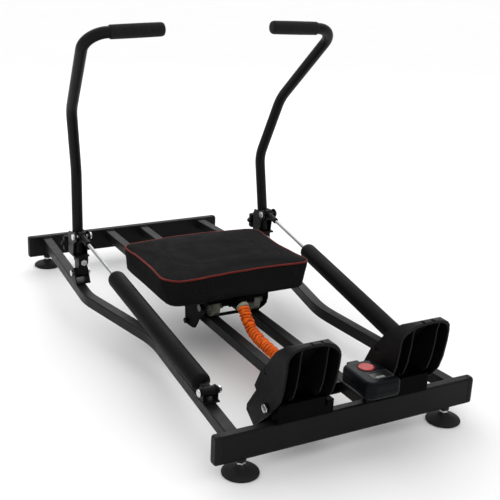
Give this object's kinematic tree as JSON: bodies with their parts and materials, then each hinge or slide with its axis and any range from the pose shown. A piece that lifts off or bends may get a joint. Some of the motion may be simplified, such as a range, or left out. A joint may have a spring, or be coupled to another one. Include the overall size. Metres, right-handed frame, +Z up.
{
  "type": "hydraulic rowing machine",
  "caption": "home rowing exerciser: cushioned seat rolling on guide rails, swinging arms damped by oil cylinders, tilting foot plates and a small counter",
  "frame": {"origin": "centre of the footprint on the floor plane, under the four rubber feet", "axes": "+X to the user's left hand side when seated facing the foot plates, -Y towards the foot plates and counter, +Z up"},
  "size_m": [0.622, 1.241, 0.7199],
  "materials": {
    "frame_paint": "satin black powder coat on steel tube and plate",
    "black_plastic": "satin moulded black plastic",
    "foot_rubber": "matte black rubber",
    "plated_steel": "zinc plated steel bolts and nuts",
    "polished_rod": "polished hard chrome",
    "seat_cloth": "woven charcoal cloth with brick red piping",
    "roller_grey": "semi matte grey green nylon",
    "elastic_orange": "wrinkled orange elastic sleeve",
    "grip_foam": "matte black foam",
    "cylinder_sleeve": "matte black sleeve",
    "counter_case": "glossy dark blue grey",
    "red_button": "glossy red",
    "display": "grey green liquid crystal behind a clear window"
  },
  "bodies": {
    "frame": {"front_crossbar": "frame_paint", "rear_crossbar": "frame_paint", "end_cap_front_right": "black_plastic", "end_cap_front_left": "black_plastic", "end_cap_rear_right": "black_plastic", "end_cap_rear_left": "black_plastic", "guide_rail_right": "frame_paint", "guide_rail_left": "frame_paint", "side_rail_right": "frame_paint", "side_rail_left": "frame_paint", "foot_pad_front_right": "foot_rubber", "foot_pad_front_left": "foot_rubber", "foot_pad_rear_right": "foot_rubber", "foot_pad_rear_left": "foot_rubber", "foot_stud_front_right": "plated_steel", "foot_stud_front_left": "plated_steel", "foot_stud_rear_right": "plated_steel", "foot_stud_rear_left": "plated_steel", "arm_base_bracket_right": "frame_paint", "arm_base_bracket_left": "frame_paint", "arm_pivot_bolt_right": "plated_steel", "arm_pivot_bolt_left": "plated_steel", "pedal_bracket_right": "black_plastic", "pedal_bracket_left": "black_plastic", "elastic_anchor_front": "frame_paint", "console_housing": "counter_case", "console_display": "display", "elastic_cord": "elastic_orange"},
    "seat": {"seat_cushion": "seat_cloth", "seat_carriage": "frame_paint", "roller_axle_front": "plated_steel", "roller_axle_rear": "plated_steel", "keeper_rod": "black_plastic"},
    "wheel_front_right": {"roller_front_right": "roller_grey"},
    "wheel_front_left": {"roller_front_left": "roller_grey"},
    "wheel_rear_right": {"roller_rear_right": "roller_grey"},
    "wheel_rear_left": {"roller_rear_left": "roller_grey"},
    "foot_plate_right": {"pedal_right": "black_plastic"},
    "foot_plate_left": {"pedal_left": "black_plastic"},
    "reset_button": {"console_button": "red_button"},
    "swing_right": {"swing_block_right": "frame_paint", "arm_tilt_bolt_right": "plated_steel"},
    "swing_left": {"swing_block_left": "frame_paint", "arm_tilt_bolt_left": "plated_steel"},
    "arm_right": {"arm_tube_right": "frame_paint", "grip_right": "grip_foam", "rod_clamp_right": "frame_paint", "rod_pin_right": "plated_steel"},
    "arm_left": {"arm_tube_left": "frame_paint", "grip_left": "grip_foam", "rod_clamp_left": "frame_paint", "rod_pin_left": "plated_steel"},
    "knob_right": {"clamp_knob_right": "black_plastic"},
    "knob_left": {"clamp_knob_left": "black_plastic"},
    "cylinder_swivel_right": {"cylinder_base_right": "frame_paint"},
    "cylinder_swivel_left": {"cylinder_base_left": "frame_paint"},
    "cylinder_right": {"cylinder_body_right": "cylinder_sleeve"},
    "cylinder_left": {"cylinder_body_left": "cylinder_sleeve"},
    "rod_right": {"piston_rod_right": "polished_rod"},
    "rod_left": {"piston_rod_left": "polished_rod"}
  },
  "joints": [
    {"name": "seat_slide", "type": "slide", "parent": "frame", "child": "seat", "axis": [0, 1, 0], "range_m": [-0.23, 0.36], "deforming": ["elastic_cord"]},
    {"name": "roller_front_right_spin", "type": "hinge", "parent": "seat", "child": "wheel_front_right", "pos_m": [0.051, -0.0755, 0.1065], "axis": [1, 0, 0], "continuous": true},
    {"name": "roller_front_left_spin", "type": "hinge", "parent": "seat", "child": "wheel_front_left", "pos_m": [-0.051, -0.0755, 0.1065], "axis": [1, 0, 0], "continuous": true},
    {"name": "roller_rear_right_spin", "type": "hinge", "parent": "seat", "child": "wheel_rear_right", "pos_m": [0.051, 0.1265, 0.1065], "axis": [1, 0, 0], "continuous": true},
    {"name": "roller_rear_left_spin", "type": "hinge", "parent": "seat", "child": "wheel_rear_left", "pos_m": [-0.051, 0.1265, 0.1065], "axis": [1, 0, 0], "continuous": true},
    {"name": "foot_plate_right_tilt", "type": "hinge", "parent": "frame", "child": "foot_plate_right", "pos_m": [0.12, -0.5451, 0.1125], "axis": [1, 0, 0], "range_deg": [-15, 25]},
    {"name": "foot_plate_left_tilt", "type": "hinge", "parent": "frame", "child": "foot_plate_left", "pos_m": [-0.12, -0.5451, 0.1125], "axis": [1, 0, 0], "range_deg": [-15, 25]},
    {"name": "reset_button_press", "type": "slide", "parent": "frame", "child": "reset_button", "axis": [0, 0, -1], "range_m": [0, 0.002], "stiffness_N_per_m": 400},
    {"name": "arm_right_swing", "type": "hinge", "parent": "frame", "child": "swing_right", "pos_m": [0.2535, 0.2375, 0.106], "axis": [1, 0, 0], "range_deg": [-10, 30]},
    {"name": "arm_left_swing", "type": "hinge", "parent": "frame", "child": "swing_left", "pos_m": [-0.2535, 0.2375, 0.106], "axis": [1, 0, 0], "range_deg": [-10, 30]},
    {"name": "arm_right_tilt", "type": "hinge", "parent": "swing_right", "child": "arm_right", "pos_m": [0.251, 0.2375, 0.137], "axis": [0, 1, 0], "range_deg": [-5, 8]},
    {"name": "arm_left_tilt", "type": "hinge", "parent": "swing_left", "child": "arm_left", "pos_m": [-0.251, 0.2375, 0.137], "axis": [0, -1, 0], "range_deg": [-5, 8]},
    {"name": "knob_right_turn", "type": "hinge", "parent": "arm_right", "child": "knob_right", "pos_m": [0.258, 0.2895, 0.166], "axis": [0, 1, 0], "continuous": true},
    {"name": "knob_left_turn", "type": "hinge", "parent": "arm_left", "child": "knob_left", "pos_m": [-0.258, 0.2895, 0.166], "axis": [0, 1, 0], "continuous": true},
    {"name": "cylinder_right_yaw", "type": "hinge", "parent": "frame", "child": "cylinder_swivel_right", "pos_m": [0.2345, -0.4295, 0.09], "axis": [0, 0, 1], "range_deg": [-1, 0.7]},
    {"name": "cylinder_left_yaw", "type": "hinge", "parent": "frame", "child": "cylinder_swivel_left", "pos_m": [-0.2345, -0.4295, 0.09], "axis": [0, 0, 1], "range_deg": [-0.7, 1]},
    {"name": "cylinder_right_pitch", "type": "hinge", "parent": "cylinder_swivel_right", "child": "cylinder_right", "pos_m": [0.2345, -0.4295, 0.102], "axis": [1, 0, 0], "range_deg": [-1.1, 0.5]},
    {"name": "cylinder_left_pitch", "type": "hinge", "parent": "cylinder_swivel_left", "child": "cylinder_left", "pos_m": [-0.2345, -0.4295, 0.102], "axis": [1, 0, 0], "range_deg": [-1.1, 0.5]},
    {"name": "rod_right_slide", "type": "slide", "parent": "cylinder_right", "child": "rod_right", "axis": [0.0301, 0.9877, 0.1537], "range_m": [-0.0505, 0.018]},
    {"name": "rod_left_slide", "type": "slide", "parent": "cylinder_left", "child": "rod_left", "axis": [-0.0301, 0.9877, 0.1537], "range_m": [-0.0505, 0.018]}
  ],
  "couplings": [
    {"joint": "roller_front_right_spin", "follows": "seat_slide", "rad_per_m": -43.478},
    {"joint": "roller_front_left_spin", "follows": "seat_slide", "rad_per_m": -43.478},
    {"joint": "roller_rear_right_spin", "follows": "seat_slide", "rad_per_m": -43.478},
    {"joint": "roller_rear_left_spin", "follows": "seat_slide", "rad_per_m": -43.478},
    {"joint": "cylinder_right_yaw", "follows": "arm_right_tilt", "ratio": -0.1017},
    {"joint": "cylinder_left_yaw", "follows": "arm_left_tilt", "ratio": 0.1017},
    {"joint": "cylinder_right_pitch", "follows": "arm_right_swing", "ratio": -0.031},
    {"joint": "cylinder_left_pitch", "follows": "arm_left_swing", "ratio": -0.031},
    {"joint": "rod_right_slide", "follows": "arm_right_swing", "m_per_rad": -0.093},
    {"joint": "rod_left_slide", "follows": "arm_left_swing", "m_per_rad": -0.093}
  ]
}
